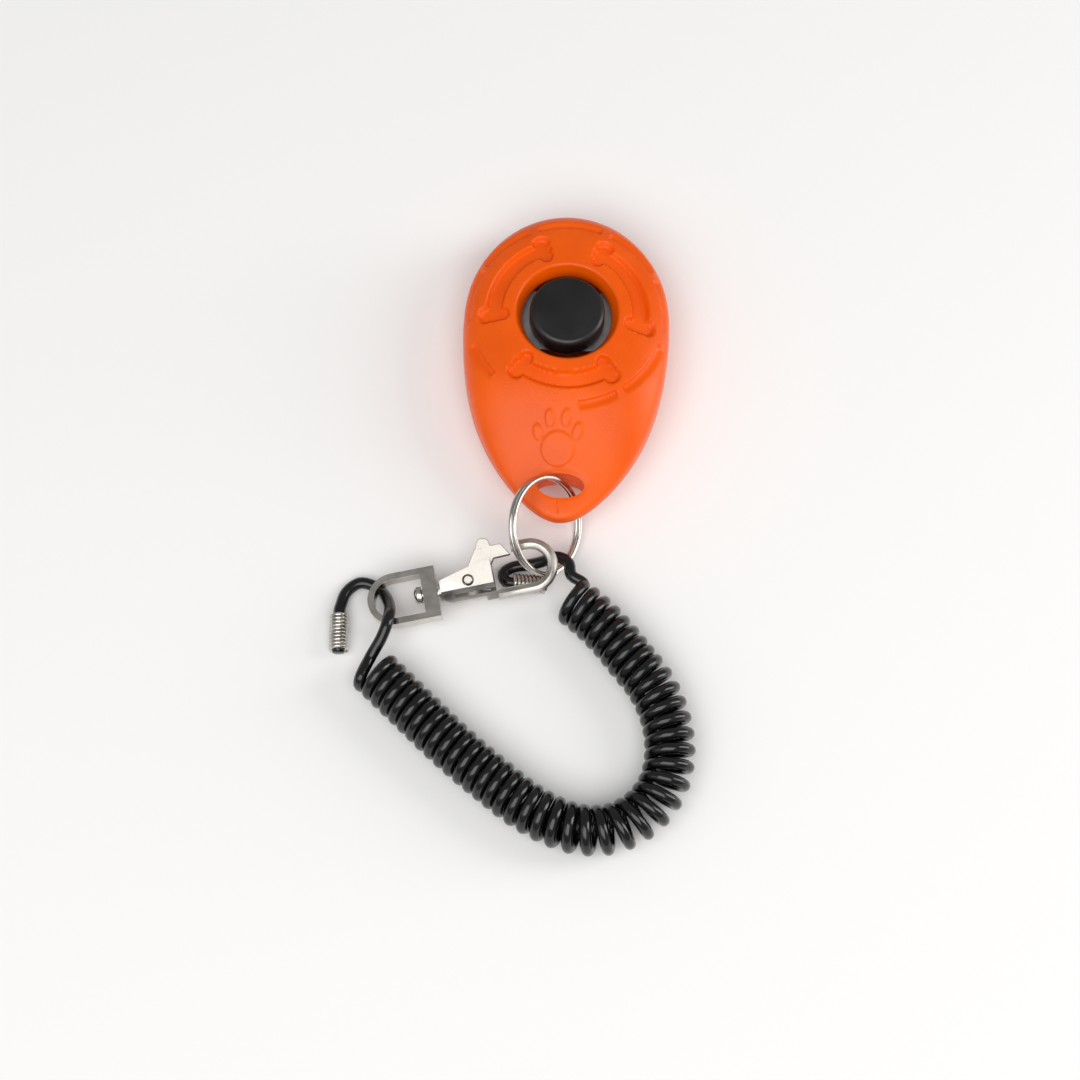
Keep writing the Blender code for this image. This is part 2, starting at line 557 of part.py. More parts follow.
spring_points = []
for k in range(37):
    angle = 2 * math.pi * k / 12
    spring_points.append((body_end - GATE_SPRING_BACK + GATE_SPRING_COIL * math.cos(angle),
                          GATE_SLOT_FLOOR + 0.4 * MM + GATE_SPRING_LENGTH * k / 36,
                          GATE_SPRING_COIL * math.sin(angle)))
gate_spring = wire("gate_spring", spring_points, GATE_SPRING_WIRE, STEEL)
gate_spring.matrix_world = hook_frame

# Wrist strap: a fat tube where the cord is coiled, and the cord's own width at each end loop.
coil_path = smooth_route([(x * MM, y * MM, COIL_RADIUS + 0.1 * MM) for x, y in COIL_ROUTE], 2.6 * MM)
wire("strap_coil", coil_path, COIL_RADIUS, BLACK, None, 3)


def cord(name, route):
    """A stretch of plain cord along a smooth curve through the route, given in millimetres."""
    places = [(x * MM, y * MM, z * MM) for x, y, z in route]
    return wire(name, smooth_route(places, 1.6 * MM), CORD_RADIUS, BLACK)


def ferrule(name, ends):
    """A sleeve of close-wound wire round the cord's end, which fills it."""
    start, end = (Vector(place) * MM for place in ends)
    length = (end - start).length
    sleeve = turned(name, [(0.0, length), (FERRULE_RADIUS - 0.3 * MM, length), (FERRULE_RADIUS, length - 0.3 * MM),
                           (FERRULE_RADIUS, 0.3 * MM), (FERRULE_RADIUS - 0.3 * MM, 0.0), (0.0, 0.0)], 20, STEEL)
    turn = (end - start).to_track_quat("Z", "Y").to_matrix().to_4x4()
    sleeve.matrix_world = Matrix.Translation(start) @ turn


cord("cord_loop_right", LOOP_RIGHT_ROUTE)
ferrule("ferrule_right", FERRULE_RIGHT_ENDS)
cord("cord_loop_left", LOOP_LEFT_ROUTE)
ferrule("ferrule_left", FERRULE_LEFT_ENDS)
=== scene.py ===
import math

import bmesh
import bpy
import numpy as np
from mathutils import Matrix, Vector


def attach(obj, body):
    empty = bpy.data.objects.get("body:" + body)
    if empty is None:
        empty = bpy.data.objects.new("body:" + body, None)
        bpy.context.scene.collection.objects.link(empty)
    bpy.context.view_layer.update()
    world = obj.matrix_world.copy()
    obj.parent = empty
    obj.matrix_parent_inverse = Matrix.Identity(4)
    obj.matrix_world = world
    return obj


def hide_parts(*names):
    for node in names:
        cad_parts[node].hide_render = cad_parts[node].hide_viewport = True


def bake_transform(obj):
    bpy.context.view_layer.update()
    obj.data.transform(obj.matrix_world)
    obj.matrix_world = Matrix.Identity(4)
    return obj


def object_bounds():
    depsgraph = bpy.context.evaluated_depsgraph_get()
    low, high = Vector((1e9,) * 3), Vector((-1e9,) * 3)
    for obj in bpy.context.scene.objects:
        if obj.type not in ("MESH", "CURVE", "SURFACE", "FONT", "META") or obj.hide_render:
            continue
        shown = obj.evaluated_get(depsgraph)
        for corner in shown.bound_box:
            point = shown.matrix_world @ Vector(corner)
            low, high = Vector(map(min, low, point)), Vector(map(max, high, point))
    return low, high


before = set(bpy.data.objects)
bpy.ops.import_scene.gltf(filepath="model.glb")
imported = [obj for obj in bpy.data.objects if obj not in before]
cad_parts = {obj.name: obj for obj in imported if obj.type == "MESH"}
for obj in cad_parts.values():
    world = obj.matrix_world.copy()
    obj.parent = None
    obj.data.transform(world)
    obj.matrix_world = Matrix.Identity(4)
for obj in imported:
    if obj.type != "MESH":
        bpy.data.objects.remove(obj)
cad_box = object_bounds()
MM = 0.001

# ---- Studio
# A pale sheet of card to lie on, one wide soft box high on the camera's side, one tall soft box
# on the right and a weak fill on the left. The camera stands at the strap's end, looking steeply
# down.
VIEW_ELEVATION = math.radians(70)
VIEW_ROLL = math.radians(2.3)
VIEW_DISTANCE = 614 * MM
VIEW_CENTRE = Vector((-3.7, -43.6, 0.0)) * MM
SHEET_REACH = 3.0
SHEET_GAP = 0.05 * MM

camera = bpy.data.objects.new("camera", bpy.data.cameras.new("camera"))
camera.data.lens = 100
camera.data.sensor_width = 36
camera.data.clip_start = 0.01
offset = Vector((0.0, -math.cos(VIEW_ELEVATION), math.sin(VIEW_ELEVATION))) * VIEW_DISTANCE
look = Matrix.Rotation(math.pi / 2 - VIEW_ELEVATION, 4, "X") @ Matrix.Rotation(VIEW_ROLL, 4, "Z")
camera.matrix_world = Matrix.Translation(VIEW_CENTRE + offset) @ look
bpy.context.scene.collection.objects.link(camera)
bpy.context.scene.camera = camera
bpy.context.scene.view_settings.view_transform = "Standard"

for name, place, width, height, watts, colour in (
        ("overhead", (-0.15, -0.62, 1.05), 1.3, 1.0, 11.5, (1.0, 0.99, 0.97)),
        ("right_box", (0.72, 0.05, 0.28), 0.3, 0.8, 3.2, (1.0, 0.98, 0.96)),
        ("left_fill", (-0.9, -0.4, 0.6), 0.5, 0.5, 0.6, (0.97, 0.98, 1.0))):
    lamp = bpy.data.lights.new(name, "AREA")
    lamp.shape = "RECTANGLE"
    lamp.size = width
    lamp.size_y = height
    lamp.energy = watts
    lamp.color = colour
    holder = bpy.data.objects.new(name, lamp)
    aim = (VIEW_CENTRE - Vector(place)).to_track_quat("-Z", "Y").to_matrix().to_4x4()
    holder.matrix_world = Matrix.Translation(place) @ aim
    bpy.context.scene.collection.objects.link(holder)

world = bpy.data.worlds.new("studio")
bpy.context.scene.world = world
world.use_nodes = True
world.node_tree.nodes["Background"].inputs["Color"].default_value = (1.0, 1.0, 1.0, 1.0)
world.node_tree.nodes["Background"].inputs["Strength"].default_value = 0.30

card = bpy.data.materials.new("pale_card")
card.use_nodes = True
card.node_tree.nodes["Principled BSDF"].inputs["Base Color"].default_value = (0.93, 0.93, 0.93, 1.0)
card.node_tree.nodes["Principled BSDF"].inputs["Roughness"].default_value = 0.9
card.node_tree.nodes["Principled BSDF"].inputs["Specular IOR Level"].default_value = 0.1
sheet_mesh = bpy.data.meshes.new("floor")
sheet_mesh.from_pydata([(-SHEET_REACH, -SHEET_REACH, 0), (SHEET_REACH, -SHEET_REACH, 0),
                        (SHEET_REACH, SHEET_REACH, 0), (-SHEET_REACH, SHEET_REACH, 0)],
                       [], [(0, 1, 2, 3)])
sheet_mesh.materials.append(card)
floor = bpy.data.objects.new("floor", sheet_mesh)
floor.location.z = cad_box[0].z - SHEET_GAP
bpy.context.scene.collection.objects.link(floor)

# ---- Back cover
# The lower half of the egg, moulded in orange plastic with a spark-eroded texture. Its flat
# lies on the table, three screws go in through it, and two ledges inside carry the click plate.
CASE_HALF_WIDTH = 21.3
CASE_TOP = 24.0
CASE_TIP = 42.5
PARTING = 8.0
SEAM = 0.3
WALL = 2.0
TAIL_CAVITY = 31.0
BACK_DEPTH = 8.0
BACK_SPREAD = 1.12
SCREW_PLACES = ((-9.8, 11.4), (9.8, 11.4), (0.0, -15.0))
POST_RADIUS = 2.7
PLATE_LOW = 12.0
LEDGE_X = 12.6
LANYARD_HOLE = (0.0, -35.6, 4.8, 2.5)
LEDGE_HALF_WIDTH = 1.8
LEDGE_HALF_LENGTH = 5.0
PLATE_CLEARANCE = 0.3
HEAD_RADIUS = 2.3
HEAD_DEPTH = 2.1
SHANK_RADIUS = 1.4
SOCKET_RADIUS = 1.1
SOCKET_LOW = 8.4


def grain_group():
    """Fine and coarse noise on the given place: Height is the fine noise with a little of the
    coarse one, for a bump, and Tone is the coarse noise stretched to the range 0 to 1."""
    group = bpy.data.node_groups.new("surface_grain", "ShaderNodeTree")
    for socket, kind in (("Place", "NodeSocketVector"), ("Fine", "NodeSocketFloat"),
                         ("Coarse", "NodeSocketFloat")):
        group.interface.new_socket(socket, in_out="INPUT", socket_type=kind)
    for socket in ("Height", "Tone"):
        group.interface.new_socket(socket, in_out="OUTPUT", socket_type="NodeSocketFloat")
    nodes = group.nodes
    links = group.links
    start = nodes.new("NodeGroupInput")
    end = nodes.new("NodeGroupOutput")
    fine = nodes.new("ShaderNodeTexNoise")
    fine.inputs["Detail"].default_value = 4.0
    coarse = nodes.new("ShaderNodeTexNoise")
    coarse.inputs["Detail"].default_value = 5.0
    stretch = nodes.new("ShaderNodeMapRange")
    stretch.inputs["From Min"].default_value = 0.35
    stretch.inputs["From Max"].default_value = 0.65
    both = nodes.new("ShaderNodeMath")
    both.operation = "MULTIPLY_ADD"
    both.inputs[1].default_value = 0.25
    links.new(start.outputs["Place"], fine.inputs["Vector"])
    links.new(start.outputs["Place"], coarse.inputs["Vector"])
    links.new(start.outputs["Fine"], fine.inputs["Scale"])
    links.new(start.outputs["Coarse"], coarse.inputs["Scale"])
    links.new(coarse.outputs["Fac"], stretch.inputs["Value"])
    links.new(stretch.outputs["Result"], both.inputs[0])
    links.new(fine.outputs["Fac"], both.inputs[2])
    links.new(both.outputs["Value"], end.inputs["Height"])
    links.new(stretch.outputs["Result"], end.inputs["Tone"])
    return group


GRAIN = grain_group()


def finish(name, dark, light, smooth, rough, fine, coarse, relief, metallic=0.0, coat=0.0):
    """A material whose colour runs from dark to light and roughness from smooth to rough with the
    coarse noise, and whose fine noise stands relief millimetres high. Noise sizes are per metre."""
    made = bpy.data.materials.new(name)
    made.use_nodes = True
    nodes = made.node_tree.nodes
    links = made.node_tree.links
    shader = nodes["Principled BSDF"]
    shader.inputs["Metallic"].default_value = metallic
    shader.inputs["Coat Weight"].default_value = coat
    shader.inputs["Coat Roughness"].default_value = 0.12
    place = nodes.new("ShaderNodeTexCoord")
    grain = nodes.new("ShaderNodeGroup")
    grain.node_tree = GRAIN
    grain.inputs["Fine"].default_value = fine
    grain.inputs["Coarse"].default_value = coarse
    links.new(place.outputs["Object"], grain.inputs["Place"])
    blend = nodes.new("ShaderNodeMix")
    blend.data_type = "RGBA"
    blend.inputs["A"].default_value = (*dark, 1.0)
    blend.inputs["B"].default_value = (*light, 1.0)
    links.new(grain.outputs["Tone"], blend.inputs["Factor"])
    links.new(blend.outputs["Result"], shader.inputs["Base Color"])
    gloss = nodes.new("ShaderNodeMapRange")
    gloss.inputs["To Min"].default_value = smooth
    gloss.inputs["To Max"].default_value = rough
    links.new(grain.outputs["Tone"], gloss.inputs["Value"])
    links.new(gloss.outputs["Result"], shader.inputs["Roughness"])
    bump = nodes.new("ShaderNodeBump")
    bump.inputs["Strength"].default_value = 1.0
    bump.inputs["Distance"].default_value = relief * MM
    links.new(grain.outputs["Height"], bump.inputs["Height"])
    links.new(bump.outputs["Normal"], shader.inputs["Normal"])
    return made


# The textured plastic is duller than a polished one.
ORANGE = finish("case_orange", (0.84, 0.096, 0.0), (0.92, 0.114, 0.0), 0.30, 0.38, 2400, 90, 0.06)
ORANGE.node_tree.nodes["Principled BSDF"].inputs["Specular IOR Level"].default_value = 0.3


def drop(back):
    """Smooth step from 0 to 1 between three tenths and nineteen twentieths of the way to the tip."""
    share = np.clip((back - 0.3) / 0.65, 0, 1)
    return share * share * (3 - 2 * share)


def egg_plan(a, b, inset, tip):
    """Plan of the egg from the unit disc: x is a times the half-width, drawn in by the fourth
    power of the way to the tip, and y is b times the length on its side of the button."""
    back = np.maximum(0, -b)
    x = (CASE_HALF_WIDTH - inset) * a * (1 - 0.24 * back ** 4)
    y = b * np.where(b > 0, CASE_TOP - inset, tip)
    return x, y


def back_height(a, b, depth):
    """The back bulges down from the parting by depth times the square root of the unit ball's
    height, spread a little and cut flat, and it lifts towards the tip."""
    lift = np.minimum(1, BACK_SPREAD * np.maximum(0, 1 - a * a - b * b) ** 0.25)
    return PARTING - SEAM / 2 - (depth - SEAM / 2) * (1 - 0.66 * drop(np.maximum(0, -b))) * lift


def sweep_faces(rows, columns, closed):
    """Quads between neighbouring rows of a grid of points numbered row by row, whose columns run
    round. A closed sweep joins its last row to its first; an open one gets a fan at each end."""
    i, j = np.meshgrid(np.arange(rows if closed else rows - 1), np.arange(columns), indexing="ij")
    after = (j + 1) % columns
    above = (i + 1) % rows
    quads = np.stack([i * columns + j, i * columns + after,
                      above * columns + after, above * columns + j], -1)
    faces = quads.reshape(-1, 4).tolist()
    if not closed:
        first = np.arange(columns)
        last = first + (rows - 1) * columns
        rolled = np.roll(first, -1)
        low_pole = np.full(columns, rows * columns)
        faces += np.stack([low_pole, rolled, first], -1).tolist()
        faces += np.stack([low_pole + 1, last, np.roll(last, -1)], -1).tolist()
    return faces


def swept(name, rings, closed=False):
    """A mesh object from an array of rings in millimetres, shaped rows by columns by 3. The fans
    of an open sweep meet at the middle of its first and of its last ring."""
    rows, columns = rings.shape[:2]
    points = rings.reshape(-1, 3)
    if not closed:
        points = np.vstack([points, rings[0].mean(0), rings[-1].mean(0)])
    mesh = bpy.data.meshes.new(name)
    mesh.from_pydata((points * MM).tolist(), [], sweep_faces(rows, columns, closed))
    bm = bmesh.new()
    bm.from_mesh(mesh)
    bmesh.ops.recalc_face_normals(bm, faces=bm.faces)
    bm.to_mesh(mesh)
    bm.free()
    piece = bpy.data.objects.new(name, mesh)
    bpy.context.scene.collection.objects.link(piece)
    return piece


def turned(name, profile, place=(0.0, 0.0), columns=96):
    """A profile of (radius, height) pairs turned about an upright axis, closed by a fan at each end."""
    profile = np.array(profile, float)
    angle = np.linspace(0, 2 * np.pi, columns, endpoint=False)
    radius = np.maximum(profile[:, :1], 0.001)
    x = place[0] + radius * np.cos(angle)
    y = place[1] + radius * np.sin(angle)
    z = np.broadcast_to(profile[:, 1:], x.shape)
    return swept(name, np.stack([x, y, z], -1))


def combine(piece, tools, operation):
    """One exact Boolean of all the tools, joined, with piece. The tools are used up."""
    if len(tools) > 1:
        with bpy.context.temp_override(active_object=tools[0], selected_editable_objects=tools):
            bpy.ops.object.join()
    modifier = piece.modifiers.new("cut", "BOOLEAN")
    modifier.solver = "EXACT"
    modifier.operation = operation
    modifier.object = tools[0]
    graph = bpy.context.evaluated_depsgraph_get()
    mesh = bpy.data.meshes.new_from_object(piece.evaluated_get(graph))
    piece.modifiers.clear()
    piece.data = mesh
    bpy.data.objects.remove(tools[0])


def dressed(piece, material, slot, body, *nodes, sharp=38):
    """Shades a piece smooth up to the sharp angle in degrees, gives it its material, and has it ride
    on its body in place of the CAD nodes named. The slot is not used."""
    piece.data.materials.clear()
    piece.data.materials.append(material)
    piece.data.polygons.foreach_set("use_smooth", np.ones(len(piece.data.polygons), bool))
    piece.data.set_sharp_from_angle(angle=math.radians(sharp))
    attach(piece, body)
    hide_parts(*nodes)
    return piece


def oval_cutter(name, low, high):
    """The lanyard hole as a prism: an ellipse carried straight up."""
    x, y, half_length, half_width = LANYARD_HOLE
    angle = np.linspace(0, 2 * np.pi, 96, endpoint=False)
    levels = np.array([low, high], float)[:, None]
    ring_x = np.broadcast_to(x + half_length * np.cos(angle), (2, 96))
    ring_y = np.broadcast_to(y + half_width * np.sin(angle), (2, 96))
    return swept(name, np.stack([ring_x, ring_y, np.broadcast_to(levels, (2, 96))], -1))


def block(name, low, high):
    """A rectangular block between two corners, as a four-sided sweep."""
    corners = np.array([(low[0], low[1]), (high[0], low[1]), (high[0], high[1]), (low[0], high[1])])
    rings = [np.column_stack([corners, np.full(4, z)]) for z in (low[2], high[2])]
    return swept(name, np.array(rings))


COLUMNS = 320
swing = np.linspace(0, 2 * np.pi, COLUMNS, endpoint=False)
outer = 0.004 + 0.996 * np.sin(np.linspace(0, 1, 90) ** 0.8 * np.pi / 2)[:, None]
inner = outer[::-3]
a, b = outer * np.cos(swing), outer * np.sin(swing)
outside = np.stack([*egg_plan(a, b, 0, CASE_TIP), back_height(a, b, BACK_DEPTH)], -1)
a, b = inner * np.cos(swing), inner * np.sin(swing)
inside = np.stack([*egg_plan(a, b, WALL, TAIL_CAVITY), back_height(a, b, BACK_DEPTH - WALL)], -1)
back_cover = swept("back_cover_shell", np.vstack([outside, inside]))
post_high = PARTING - SEAM / 2
fittings = [turned(f"back_post_{k}", [(0, WALL / 2), (POST_RADIUS, WALL / 2),
                                      (POST_RADIUS, post_high), (0, post_high)], place, 48)
            for k, place in enumerate(SCREW_PLACES)]
for side in (-1, 1):
    middle = side * LEDGE_X
    fittings.append(block(f"ledge_{side}", (middle - LEDGE_HALF_WIDTH, -LEDGE_HALF_LENGTH, WALL / 2),
                          (middle + LEDGE_HALF_WIDTH, LEDGE_HALF_LENGTH, PLATE_LOW - PLATE_CLEARANCE)))
combine(back_cover, fittings, "UNION")
cuts = [oval_cutter("hole_low", -2, 12)]
for k, place in enumerate(SCREW_PLACES):
    cuts.append(turned(f"counterbore_{k}", [(0, -1), (HEAD_RADIUS, -1), (HEAD_RADIUS, HEAD_DEPTH),
                                            (SHANK_RADIUS, HEAD_DEPTH), (SHANK_RADIUS, 9), (0, 9)],
                       place, 48))
for side in (-1, 1):
    cuts.append(turned(f"rivet_socket_{side}", [(0, SOCKET_LOW), (SOCKET_RADIUS, SOCKET_LOW),
                                                (SOCKET_RADIUS, 12.4), (0, 12.4)],
                       (side * LEDGE_X, 0.0), 32))
combine(back_cover, cuts, "DIFFERENCE")
dressed(back_cover, ORANGE, "case_orange", "clicker", "back_cover")

# ---- Click plate and its rivets
# A strip of blue-grey spring steel with a pressed dome, which snaps through when the button is
# pressed. Two small rivets hold it on the ledges.
SPRING_STEEL = finish("rolled_spring_steel", (0.34, 0.34, 0.35), (0.45, 0.44, 0.43), 0.34, 0.48,
                      5200, 260, 0.004, metallic=0.7)
PLAIN_STEEL = finish("plain_steel", (0.46, 0.45, 0.43), (0.60, 0.58, 0.56), 0.25, 0.45,
                     3800, 420, 0.008, metallic=1.0)


def refinish(node, material):
    """Gives a CAD node its material."""
    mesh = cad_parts[node].data
    mesh.materials.clear()
    mesh.materials.append(material)


refinish("click_plate", SPRING_STEEL)
refinish("plate_rivet_left", PLAIN_STEEL)
refinish("plate_rivet_right", PLAIN_STEEL)

# ---- Button
# A satin black plastic plunger with a broad, barely domed face, a rolled edge and a straight
# skirt. Its peg runs in a hole in the middle of the click plate.
BUTTON_RADIUS = 7.7
BUTTON_LOW = 13.2
BUTTON_HIGH = 18.6
EDGE_ROLL = 1.15
FACE_DOME = 0.45
PEG_RADIUS = 1.3
PEG_END = 10.6
BUTTON_BLACK = finish("button_black", (0.006, 0.006, 0.007), (0.010, 0.010, 0.011), 0.30, 0.40,
                      4200, 150, 0.010)

roll = np.linspace(0, np.pi / 2, 14)
flat_radius = BUTTON_RADIUS - EDGE_ROLL
edge_high = BUTTON_HIGH - FACE_DOME
edge = np.column_stack([flat_radius + EDGE_ROLL * np.cos(roll),
                        edge_high - EDGE_ROLL + EDGE_ROLL * np.sin(roll)])
across = np.linspace(1, 0, 16)[1:]
face = np.column_stack([flat_radius * across, edge_high + FACE_DOME * (1 - across ** 2)])
skirt = [(0, PEG_END), (PEG_RADIUS - 0.2, PEG_END), (PEG_RADIUS, PEG_END + 0.2), (PEG_RADIUS, BUTTON_LOW),
         (BUTTON_RADIUS - 0.25, BUTTON_LOW), (BUTTON_RADIUS, BUTTON_LOW + 0.25)]
button = turned("button_plunger", np.vstack([skirt, edge, face]), columns=128)
dressed(button, BUTTON_BLACK, "button_black", "button", "button")

# ---- Front cover
# The upper half of the egg, in the same orange plastic: a funnel for the button, three sunk
# bones round it, a ring of shallow pads at the shoulder, a low paw, and the lanyard hole.
CROWN = 10.0
ROOF = 3.6
BOWL_RIM = 10.4
BOWL_HOLE = 9.2
CEILING = PARTING + CROWN - ROOF
RIM_ROUND = 0.6
BONE_RADIUS = 15.1
BONE_HALF_WIDTH = 2.0
BONE_DEPTH = 1.2
BONE_HALF_SPAN = math.radians(36)
BONE_CENTRES = (28, 147, 269)
KNOB_RADIUS = 1.9
KNOB_APART = 1.6
SHOULDER_RADIUS = 19.4
SHOULDER_DEPTH = 0.6
PAD_SPANS = ((90, 19), (131, 17), (168, 17), (49, 17), (10, 17), (-35, 19), (-70, 12), (212, 12))
PAW_PAD = (-0.9, -28.6, 3.6, 3.6)
PAW_TOES = ((-5.0, -25.6, 1.15, 2.0, 14), (-2.7, -22.9, 1.15, 2.1, 5), (0.6, -22.7, 1.15, 2.1, -5),
            (3.0, -25.2, 1.2, 2.1, -14))
PAW_RISE = 0.25
BONE_STEP = 0.8
DISH_DEPTH = 0.7
CREASE_DEPTH = 0.18
FRONT_POST_HIGH = 14.3
PILOT_HIGH = 10.1


def crown_height(a, b, rise):
    """The crown stands over the parting by rise times the square root of the unit ball's height,
    and it sinks towards the tip."""
    lift = np.maximum(0, 1 - a * a - b * b) ** 0.25
    return PARTING + SEAM / 2 + (rise - SEAM / 2) * (1 - 0.66 * drop(np.maximum(0, -b))) * lift


def step_down(distance, width):
    """1 where distance is below minus width, 0 where it is above 0, and a smooth step between."""
    share = np.clip(-distance / width, 0, 1)
    return share * share * (3 - 2 * share)


def bone_sunk(x, y):
    """How far a point lies in a bone: a band along an arc, with two round knobs at each end."""
    radius, bearing = np.hypot(x, y), np.arctan2(y, x)
    sunk = np.zeros_like(x)
    for centre in BONE_CENTRES:
        turn = (bearing - math.radians(centre) + np.pi) % (2 * np.pi) - np.pi
        past = np.maximum(0, np.abs(turn) - BONE_HALF_SPAN) * BONE_RADIUS
        away = np.hypot(radius - BONE_RADIUS, past) - BONE_HALF_WIDTH
        for knob in (-KNOB_APART, KNOB_APART):
            along = (np.abs(turn) - BONE_HALF_SPAN) * BONE_RADIUS
            away = np.minimum(away, np.hypot(radius - BONE_RADIUS - knob, along) - KNOB_RADIUS)
        sunk = np.maximum(sunk, step_down(away, BONE_STEP))
    return sunk


def shoulder_sunk(x, y):
    """How far a point lies in one of the shallow pads that break the shoulder's edge."""
    radius, bearing = np.hypot(x, y), np.degrees(np.arctan2(y, x))
    sunk = np.zeros_like(x)
    for centre, half_span in PAD_SPANS:
        turn = (bearing - centre + 180) % 360 - 180
        past = (np.abs(turn) - half_span) * math.radians(SHOULDER_RADIUS)
        sunk = np.maximum(sunk, step_down(past, 0.35))
    return sunk * step_down(SHOULDER_RADIUS - radius, 0.35) * step_down(radius - 21.6, 1.4)


def ellipse_away(x, y, oval):
    """About how many millimetres outside an ellipse a point lies; the last value leans it."""
    lean = math.radians(oval[4]) if len(oval) > 4 else 0.0
    u = (x - oval[0]) * math.cos(lean) + (y - oval[1]) * math.sin(lean)
    v = (y - oval[1]) * math.cos(lean) - (x - oval[0]) * math.sin(lean)
    return (np.hypot(u / oval[2], v / oval[3]) - 1) * min(oval[2], oval[3])


def paw_raised(x, y):
    """A generic paw, each part a low cushion with a crisp foot."""
    raised = step_down(ellipse_away(x, y, PAW_PAD), 0.5)
    for toe in PAW_TOES:
        raised = np.maximum(raised, step_down(ellipse_away(x, y, toe), 0.45))
    return raised


def along_normal(surface, depth):
    """Moves each point of a grid along its normal, the cross product of the grid's two slopes.
    The columns run round, so the second slope is taken with the columns rolled by one."""
    down = np.gradient(surface, axis=0)
    round_ = np.roll(surface, -1, axis=1) - np.roll(surface, 1, axis=1)
    normal = np.cross(down, round_)
    normal /= np.maximum(1e-12, np.linalg.norm(normal, axis=-1, keepdims=True))
    normal *= np.sign(normal[..., 2:].mean())
    return surface + depth[..., None] * normal


COLUMNS = 420
swing = np.linspace(0, 2 * np.pi, COLUMNS, endpoint=False)
length = np.where(np.sin(swing) > 0, CASE_TOP, CASE_TIP)
rim_share = BOWL_RIM / np.hypot(CASE_HALF_WIDTH * np.cos(swing), length * np.sin(swing))
from_top = np.arcsin(rim_share)
steps = (1 - (1 - np.linspace(0, 1, 200)) ** 1.12)[:, None]
share = np.sin(from_top + (np.pi / 2 - from_top) * steps)
a, b = share * np.cos(swing), share * np.sin(swing)
x, y = egg_plan(a, b, 0, CASE_TIP)
crown = np.stack([x, y, crown_height(a, b, CROWN)], -1)
hole_x, hole_y, hole_length, hole_width = LANYARD_HOLE
dish_oval = (hole_x + 0.2, hole_y + 0.3, hole_length + 1.1, hole_width + 1.2)
dish = step_down(ellipse_away(x, y, dish_oval), 2.4)
crease = step_down(np.hypot(x + 0.6 + 0.12 * (y + 40), np.maximum(0, np.abs(y + 39.9) - 1.2)) - 0.22, 0.2)
depth = PAW_RISE * paw_raised(x, y) - BONE_DEPTH * bone_sunk(x, y) - SHOULDER_DEPTH * shoulder_sunk(x, y)
crown = along_normal(crown, depth - DISH_DEPTH * dish - CREASE_DEPTH * crease)
from_rim = np.hypot(x, y) - BOWL_RIM
crown[..., 2] -= 0.4 * np.clip(1 - from_rim / RIM_ROUND, 0, 1) ** 2
bearing = np.arctan2(y[0], x[0])
up_wall = np.linspace(0, 1, 14)[:, None]
wall_radius = BOWL_HOLE + (BOWL_RIM - BOWL_HOLE) * up_wall ** 1.15
bowl = np.stack([wall_radius * np.cos(bearing), wall_radius * np.sin(bearing),
                 CEILING + (crown[0, :, 2] - CEILING) * up_wall], -1)[:-1]
length = np.where(np.sin(swing) > 0, CASE_TOP - WALL, TAIL_CAVITY)
hole_share = BOWL_HOLE / np.hypot((CASE_HALF_WIDTH - WALL) * np.cos(swing), length * np.sin(swing))
to_hole = np.arcsin(hole_share)
share = np.sin(np.pi / 2 - (np.pi / 2 - to_hole) * np.linspace(0, 1, 14)[:, None])
a, b = share * np.cos(swing), share * np.sin(swing)
hollow = np.stack([*egg_plan(a, b, WALL, TAIL_CAVITY), crown_height(a, b, CROWN - ROOF)], -1)
front_cover = swept("front_cover_shell", np.vstack([bowl, crown, hollow]), closed=True)
posts = [turned(f"front_post_{k}", [(0, PARTING + SEAM / 2), (POST_RADIUS, PARTING + SEAM / 2),
                                    (POST_RADIUS, FRONT_POST_HIGH), (0, FRONT_POST_HIGH)], place, 48)
         for k, place in enumerate(SCREW_PLACES)]
combine(front_cover, posts, "UNION")
cuts = [oval_cutter("hole_high", 4, 22)]
for k, place in enumerate(SCREW_PLACES):
    cuts.append(turned(f"pilot_{k}", [(0, 4), (SHANK_RADIUS, 4), (SHANK_RADIUS, PILOT_HIGH),
                                      (0, PILOT_HIGH)], place, 32))
combine(front_cover, cuts, "DIFFERENCE")
dressed(front_cover, ORANGE, "case_orange", "clicker", "front_cover")

# ---- Case screws
# Three small zinc-plated pan heads, driven up from the back into the front cover's posts.
for number in (1, 2, 3):
    refinish(f"back_screw_{number}", PLAIN_STEEL)

# ---- Split ring
# Two turns of flattened nickel-plated spring wire, threaded through the lanyard hole. It lies
# over the case on its left side and under it on its right.
RING_RADIUS = 9.8
RING_PITCH = 1.0
RING_HALF_BAND = 0.46
RING_HALF_THICK = 0.44
RING_CENTRE = (-2.65, -43.8, 9.05)
RING_TILT = math.radians(47.5)
RING_LEAN = math.radians(13.2)
NICKEL = finish("bright_nickel", (0.56, 0.53, 0.48), (0.70, 0.67, 0.62), 0.13, 0.24,
                3200, 330, 0.006, metallic=1.0)


def rounded_section(half_wide, half_high, power, count):
    """A superellipse: cosine and sine raised to two over the power, which squares its corners."""
    angle = np.linspace(0, 2 * np.pi, count, endpoint=False)
    c, s = np.cos(angle), np.sin(angle)
    return np.column_stack([half_wide * np.sign(c) * np.abs(c) ** (2 / power),
                            half_high * np.sign(s) * np.abs(s) ** (2 / power)])


